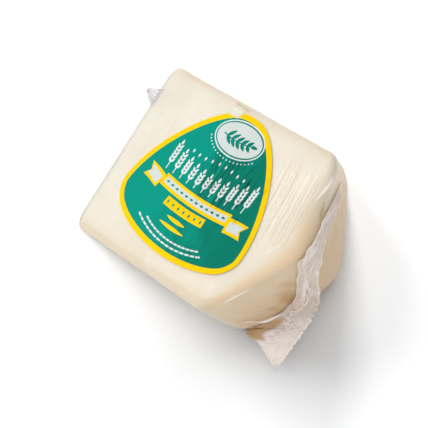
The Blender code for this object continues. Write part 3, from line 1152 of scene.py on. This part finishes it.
def draw_ribbon(flat, trim=0.0):
    """Draw the ribbon, a sagging band with two notched tails, trimmed all round."""
    draw_band(flat, ribbon_line(trim), RIBBON_HALF_WIDTH - trim)
    for root, tip, side in TAILS:
        line = bowed((root[0] + side * trim, root[1]), (tip[0] - side * trim, tip[1]), -0.2)
        draw_band(flat, line, TAIL_HALF_WIDTH - trim, notch=0.22)


def draw_gold(flat):
    """Draw the ribbon's edge, the strip, and two pointed bars below it."""
    draw_ribbon(flat)
    draw_band(flat, bowed(*STRIP), 1.8)
    for low, half in BARS:
        draw_band(
            flat, bowed((-1.2 - half, low), (-1.2 + half, low - 0.6), 0.2),
            lambda share: 0.75 * math.sin(math.pi * clamp(share, 0.02, 0.98)) ** 0.6,
        )


def draw_ear_of_grain(flat, u, v, tall):
    """Draw one upright ear: a stem, pairs of slanting grains and a top grain."""
    draw_band(flat, bowed((u, v), (u, v + tall * 0.30)), 0.22, steps=2)
    pairs = max(3, round(tall / 2.4))
    step = tall * 0.62 / pairs
    for pair in range(pairs):
        for side, turn in ((-1, 122), (1, 58)):
            draw_leaf(flat, (u + side * 0.22, v + tall * 0.24 + pair * step), GRAIN, turn)
    draw_leaf(flat, (u, v + tall * 0.24 + pairs * step), (2.2, 1.0), 90)


def draw_arc_of_dashes(flat, radius, low, high):
    """Draw dashes on an arc that follows the label's lower border, between two angles."""
    for number in range(DASHES):
        start = low + (high - low) * number / DASHES
        end = start + (high - low) / DASHES * 0.78

        def line(share):
            angle = math.radians(between(start, end, share))
            return 2.2 + radius * 1.45 * math.cos(angle), radius * math.sin(angle) + 1.0

        draw_band(flat, line, 0.34, steps=3)


def draw_white(flat):
    """Draw the oval, a frieze of ears of grain that are taller at both ends, and small marks."""
    draw_oval(flat)
    for number in range(EARS):
        share = number / (EARS - 1)
        ends = abs(2 * share - 1) ** 2.2
        foot = 1.6 - 1.2 * math.sin(math.pi * share)
        tall = 7.4 + (5.2 if share < 0.5 else 4.0) * ends
        draw_ear_of_grain(flat, between(*FRIEZE, share), foot, tall)
    for number in range(BEADS):
        angle = math.radians(between(*BEAD_ARC, number / (BEADS - 1)))
        u = OVAL_MIDDLE[0] + (OVAL_RADII[0] + BEAD_OFFSET[0]) * math.cos(angle)
        v = OVAL_MIDDLE[1] + (OVAL_RADII[1] + BEAD_OFFSET[1]) * math.sin(angle)
        draw_ellipse(flat, (u, v), (0.32, 0.32), 8)
    for number in range(LOZENGES):
        place = (-14 + 28 * number / (LOZENGES - 1), 12.9 - 0.5 * math.sin(number))
        draw_ellipse(flat, place, (0.5, 0.95), 4)
    for arc in DASHED_ARCS:
        draw_arc_of_dashes(flat, *arc)


def draw_pale(flat):
    """Draw the fields of the oval and of the ribbon."""
    draw_oval(flat, OVAL_FIELD_INSET)
    draw_ribbon(flat, RIBBON_EDGE)


def draw_green_marks(flat):
    """Draw the sprig with paired leaves in the oval, and lozenges on the ribbon and the strip."""
    u, v = OVAL_MIDDLE
    stem = bowed((u + SPRIG_FROM, v), (u + SPRIG_TO, v), SPRIG_SAG)
    draw_band(flat, stem, 0.25, steps=16)
    for number in range(5):
        for turn in (48, -40):
            draw_leaf(flat, stem((number + 0.7) / 5.4), (4.4 - 0.3 * number, 1.5), turn)
    draw_leaf(flat, (u + SPRIG_TO, v), (3.2, 1.4), 6)
    rows = ((ribbon_line(RIBBON_MARKS_INSET), 12, (1.05, 0.55)), (bowed(*STRIP), 7, (0.55, 0.95)))
    for line, count, radii in rows:
        for number in range(count):
            draw_ellipse(flat, line((number + 0.5) / count), radii, 4)


def cut_into_cells(flat, cell):
    """Cut flat shapes along a square net of lines, so that they can follow the folds."""
    for axis, normal in enumerate((Vector((1, 0, 0)), Vector((0, 1, 0)))):
        places = [vert.co[axis] for vert in flat.verts]
        for line in range(math.ceil(min(places) / cell), math.floor(max(places) / cell) + 1):
            bmesh.ops.bisect_plane(
                flat, geom=flat.verts[:] + flat.edges[:] + flat.faces[:], dist=1e-7,
                plane_co=normal * line * cell, plane_no=normal,
            )


def lay_print(name, flat, lift, thickness, cell, material, nodes=()):
    """Cut a flat print into cells, give it its thickness and lay it on the upper cut face."""
    cut_into_cells(flat, cell)
    for face in flat.faces:
        if face.normal.z < 0:
            face.normal_flip()
    extruded = bmesh.ops.extrude_face_region(flat, geom=flat.faces[:], use_keep_orig=True)
    backs = {item for item in extruded["geom"] if isinstance(item, bmesh.types.BMVert)}
    places = [(vert.co.x, vert.co.y) for vert in flat.verts]
    in_mm = [(u / MM, v / MM) for u, v in places]
    height, _ = fold_relief(FILM_FOLDS, in_mm)
    for vert, (u, v), rise in zip(flat.verts, places, height):
        above = lift + rise - (thickness if vert in backs else 0)
        vert.co = face_point(u, v, above + swell(face_point(u, v, 0)))
    bmesh.ops.recalc_face_normals(flat, faces=flat.faces)
    store(flat, pressed=[pressed_share(*place) for place in in_mm])
    finish_piece(name, flat, material, nodes)


def plain_ink(name, tint):
    """Ink whose shades follow from its colour."""
    return print_material(
        name, tint, [part * 0.94 for part in tint], [part * 0.55 for part in tint]
    )


class PACK_OT_label(bpy.types.Operator):
    """Make the printed label from flat layers of colour"""

    bl_idname = "pecorino_pack.label"
    bl_label = "Label"

    def execute(self, context):
        settings = context.scene.pecorino_label
        yellow = plain_ink("yellow_print", settings.yellow)
        green = print_material(
            "green_print", settings.green, settings.green_shade, settings.green_slit
        )
        white = plain_ink("white_print", settings.white)
        pale = plain_ink("pale_print", settings.pale)
        layers = (
            ("label_base", 0, yellow, draw_outline),
            ("label_field", 1, green, lambda flat: draw_outline(flat, settings.border)),
            ("label_gold", 2, yellow, draw_gold),
            ("label_white", 2, white, draw_white),
            ("label_oval_gap", 3, green, lambda flat: draw_oval(flat, OVAL_RING)),
            ("label_pale", 4, pale, draw_pale),
            ("label_sprig", 5, green, draw_green_marks),
        )
        for name, layer, ink, draw in layers:
            flat = bmesh.new()
            draw(flat)
            lift = settings.film_gap + settings.thickness + layer * settings.layer
            thickness = settings.layer * LAYER_OVERLAP if layer else settings.thickness
            nodes = () if layer else ["label"]
            lay_print(name, flat, lift, thickness, settings.cell, ink, nodes)
        return {"FINISHED"}


class PACK_OT_tape(bpy.types.Operator):
    """Make the small clear patch over the label's upper edge, with a brown line of painted fold shadow
    """

    bl_idname = "pecorino_pack.tape"
    bl_label = "Clear patch"

    def execute(self, context):
        settings = context.scene.pecorino_label
        lift = settings.film_gap + settings.thickness + 2 * settings.layer

        def point(across, along):
            u = (between(PATCH_LOW[0], PATCH_HIGH[0], across) - PATCH_LEAN * (1 - along)) * MM
            v = between(PATCH_LOW[1], PATCH_HIGH[1], along) * MM
            bulge = PATCH_BULGE * math.sin(math.pi * across) * math.sin(math.pi * along)
            return face_point(u, v, swell(face_point(u, v, 0)) + lift + bulge)

        def haze(across, along):
            middle = 4 * across * (1 - across)
            return clamp(0.35 + 0.5 * middle - 0.4 * smooth_step(0.55, 1.0, along))

        patch = bmesh.new()
        add_sheet(patch, 16, 16, point, haze, PATCH_THICKNESS)
        material = film_material(
            "patch_film", settings.patch_tint, hides=(0.1, 0.85), crinkle=(500, 90)
        )
        finish_piece("clear_patch", patch, material)

        # A brown line along the patch's upper edge, painted as the shadow of a fold
        rim = bmesh.new()
        draw_band(rim, bowed(*PATCH_SHADOW_LINE), lambda share: 0.22 + 0.1 * math.sin(share * 9), steps=10)
        brown = print_material("patch_fold_shadow", *PATCH_SHADOW_INKS)
        lay_print("patch_fold_shadow", rim, lift, settings.layer * LAYER_OVERLAP, settings.cell, brown)
        return {"FINISHED"}


# ---------------- stage

VIEW_YAW = math.radians(32.35)
VIEW_ELEVATION = math.radians(88.6)
VIEW_DISTANCE = 0.600
# A point in the wedge, right of the picture's middle, and the way from there to the middle
VIEW_POINT = Vector((0.24 * MM, 0, 18.75 * MM))
VIEW_OFFSET = (-10.05 * MM, 0.87 * MM)
LENS = 133.1
SENSOR = 36.0
FLOOR_SIZE = 3

# A lamp: the power setting that it follows and its share of it, its direction in degrees leftwards
# from the picture's top and above the floor, its size, and whether it lights the floor alone
Lamp = namedtuple("Lamp", "name setting share leftwards above size receivers")
ON_PACK, ON_FLOOR = "lit_by_pack_lamps", "lit_by_floor_lamps"
LAMPS = (
    Lamp("key", "key", 1.0, 58, 52, 1.6, ON_PACK),
    Lamp("fill", "fill", 1.0, 198, 35, 1.0, ON_PACK),
    Lamp("floor_low", "floor_key", 0.76, 5, 28, 0.3, ON_FLOOR),
    Lamp("floor_side", "floor_key", 1.0, 50, 36, 0.7, ON_FLOOR),
    Lamp("floor_high", "floor_key", 0.33, -10, 56, 0.7, ON_FLOOR),
)
LAMP_DISTANCE = 1.2


def view_direction(leftwards, above):
    """Direction given in radians leftwards from the picture's top and above the floor."""
    turn = VIEW_YAW + math.pi / 2 + leftwards
    level = math.cos(above)
    return Vector((math.cos(turn) * level, math.sin(turn) * level, math.sin(above)))


class PACK_OT_stage(bpy.types.Operator):
    """Make the pale floor, the soft light and the camera"""

    bl_idname = "pecorino_pack.stage"
    bl_label = "Stage"

    def execute(self, context):
        settings = context.scene.pecorino_stage
        floor = self.add_floor(settings)
        self.add_world(context.scene, settings)
        self.add_lamps(settings, floor)
        self.add_camera(context.scene)
        context.scene.view_settings.view_transform = "Standard"
        return {"FINISHED"}

    def add_floor(self, settings):
        """A wide level floor under the pack."""
        ground = bmesh.new()
        bmesh.ops.create_grid(ground, x_segments=1, y_segments=1, size=FLOOR_SIZE)
        material, surface, build = new_material("floor_paper")
        shade = [part * 0.995 for part in settings.floor]
        grain = build.noise(build.place(), 40, detail=3)
        build.feed(surface, {
            "Base Color": build.mix(grain, settings.floor, shade),
            "Roughness": 0.9,
            "Specular IOR Level": 0.1,
        })
        floor = make_mesh("floor", ground, material)
        return floor

    def add_world(self, scene, settings):
        """A white world."""
        world = bpy.data.worlds.new("studio")
        world.use_nodes = True
        background = world.node_tree.nodes["Background"]
        Shader(world.node_tree).feed(background, ((1, 1, 1), settings.world))
        scene.world = world

    def add_lamps(self, settings, floor):
        """Round lamps aimed at the pack: two light all but the floor, and three the floor alone."""
        groups = {}
        for name, state in ((ON_PACK, "EXCLUDE"), (ON_FLOOR, "INCLUDE")):
            groups[name] = bpy.data.collections.new(name)
            groups[name].objects.link(floor)
            groups[name].collection_objects[0].light_linking.link_state = state
        for lamp in LAMPS:
            light = bpy.data.lights.new(lamp.name, "AREA")
            light.shape = "DISK"
            light.size = lamp.size
            light.energy = getattr(settings, lamp.setting) * lamp.share
            outward = view_direction(math.radians(lamp.leftwards), math.radians(lamp.above))
            placed = put_in_scene(lamp.name, light)
            placed.location = outward * LAMP_DISTANCE
            placed.rotation_mode = "QUATERNION"
            placed.rotation_quaternion = (-outward).to_track_quat("-Z", "Y")
            placed.light_linking.receiver_collection = groups[lamp.receivers]

    def add_camera(self, scene):
        """The camera, almost straight above, turned so that the heel points to the lower right."""
        forward = view_direction(0, -VIEW_ELEVATION)
        right = Vector((math.cos(VIEW_YAW), math.sin(VIEW_YAW), 0))
        up = right.cross(forward)
        location = VIEW_POINT - forward * VIEW_DISTANCE
        target = VIEW_POINT + right * VIEW_OFFSET[0] + up * VIEW_OFFSET[1]
        aim = (target - location).normalized()
        right = aim.cross(up).normalized()
        up = right.cross(aim)
        data = bpy.data.cameras.new("camera")
        data.lens = LENS
        data.sensor_width = SENSOR
        camera = put_in_scene("camera", data)
        turned = Matrix((right, up, -aim)).transposed().to_4x4()
        camera.matrix_world = Matrix.Translation(location) @ turned
        scene.camera = camera


# ---------------- panel and registration

OPERATORS = (
    PACK_OT_cheese, PACK_OT_film, PACK_OT_seal, PACK_OT_ear,
    PACK_OT_label, PACK_OT_tape, PACK_OT_stage,
)
SETTINGS = {
    "pecorino_cheese": CheeseSettings,
    "pecorino_film": FilmSettings,
    "pecorino_seal": SealSettings,
    "pecorino_label": LabelSettings,
    "pecorino_stage": StageSettings,
}


class PACK_PT_panel(bpy.types.Panel):
    """Pieces of the sealed wedge"""

    bl_idname = "PACK_PT_panel"
    bl_label = "Pecorino wedge"
    bl_space_type = "VIEW_3D"
    bl_region_type = "UI"
    bl_category = "Pecorino"

    def draw(self, context):
        for operator in OPERATORS:
            self.layout.operator(operator.bl_idname)
        for name, kind in SETTINGS.items():
            box = self.layout.box()
            box.label(text=kind.__doc__)
            for item in kind.__annotations__:
                box.prop(getattr(context.scene, name), item)


def register():
    for kind in (*SETTINGS.values(), *OPERATORS, PACK_PT_panel):
        bpy.utils.register_class(kind)
    for name, kind in SETTINGS.items():
        setattr(bpy.types.Scene, name, bpy.props.PointerProperty(type=kind))


def unregister():
    for name in SETTINGS:
        delattr(bpy.types.Scene, name)
    for kind in (PACK_PT_panel, *reversed(OPERATORS), *SETTINGS.values()):
        bpy.utils.unregister_class(kind)


def main():
    register()
    for operator in OPERATORS:
        group, name = operator.bl_idname.split(".")
        getattr(getattr(bpy.ops, group), name)()


if __name__ == "__main__":
    main()
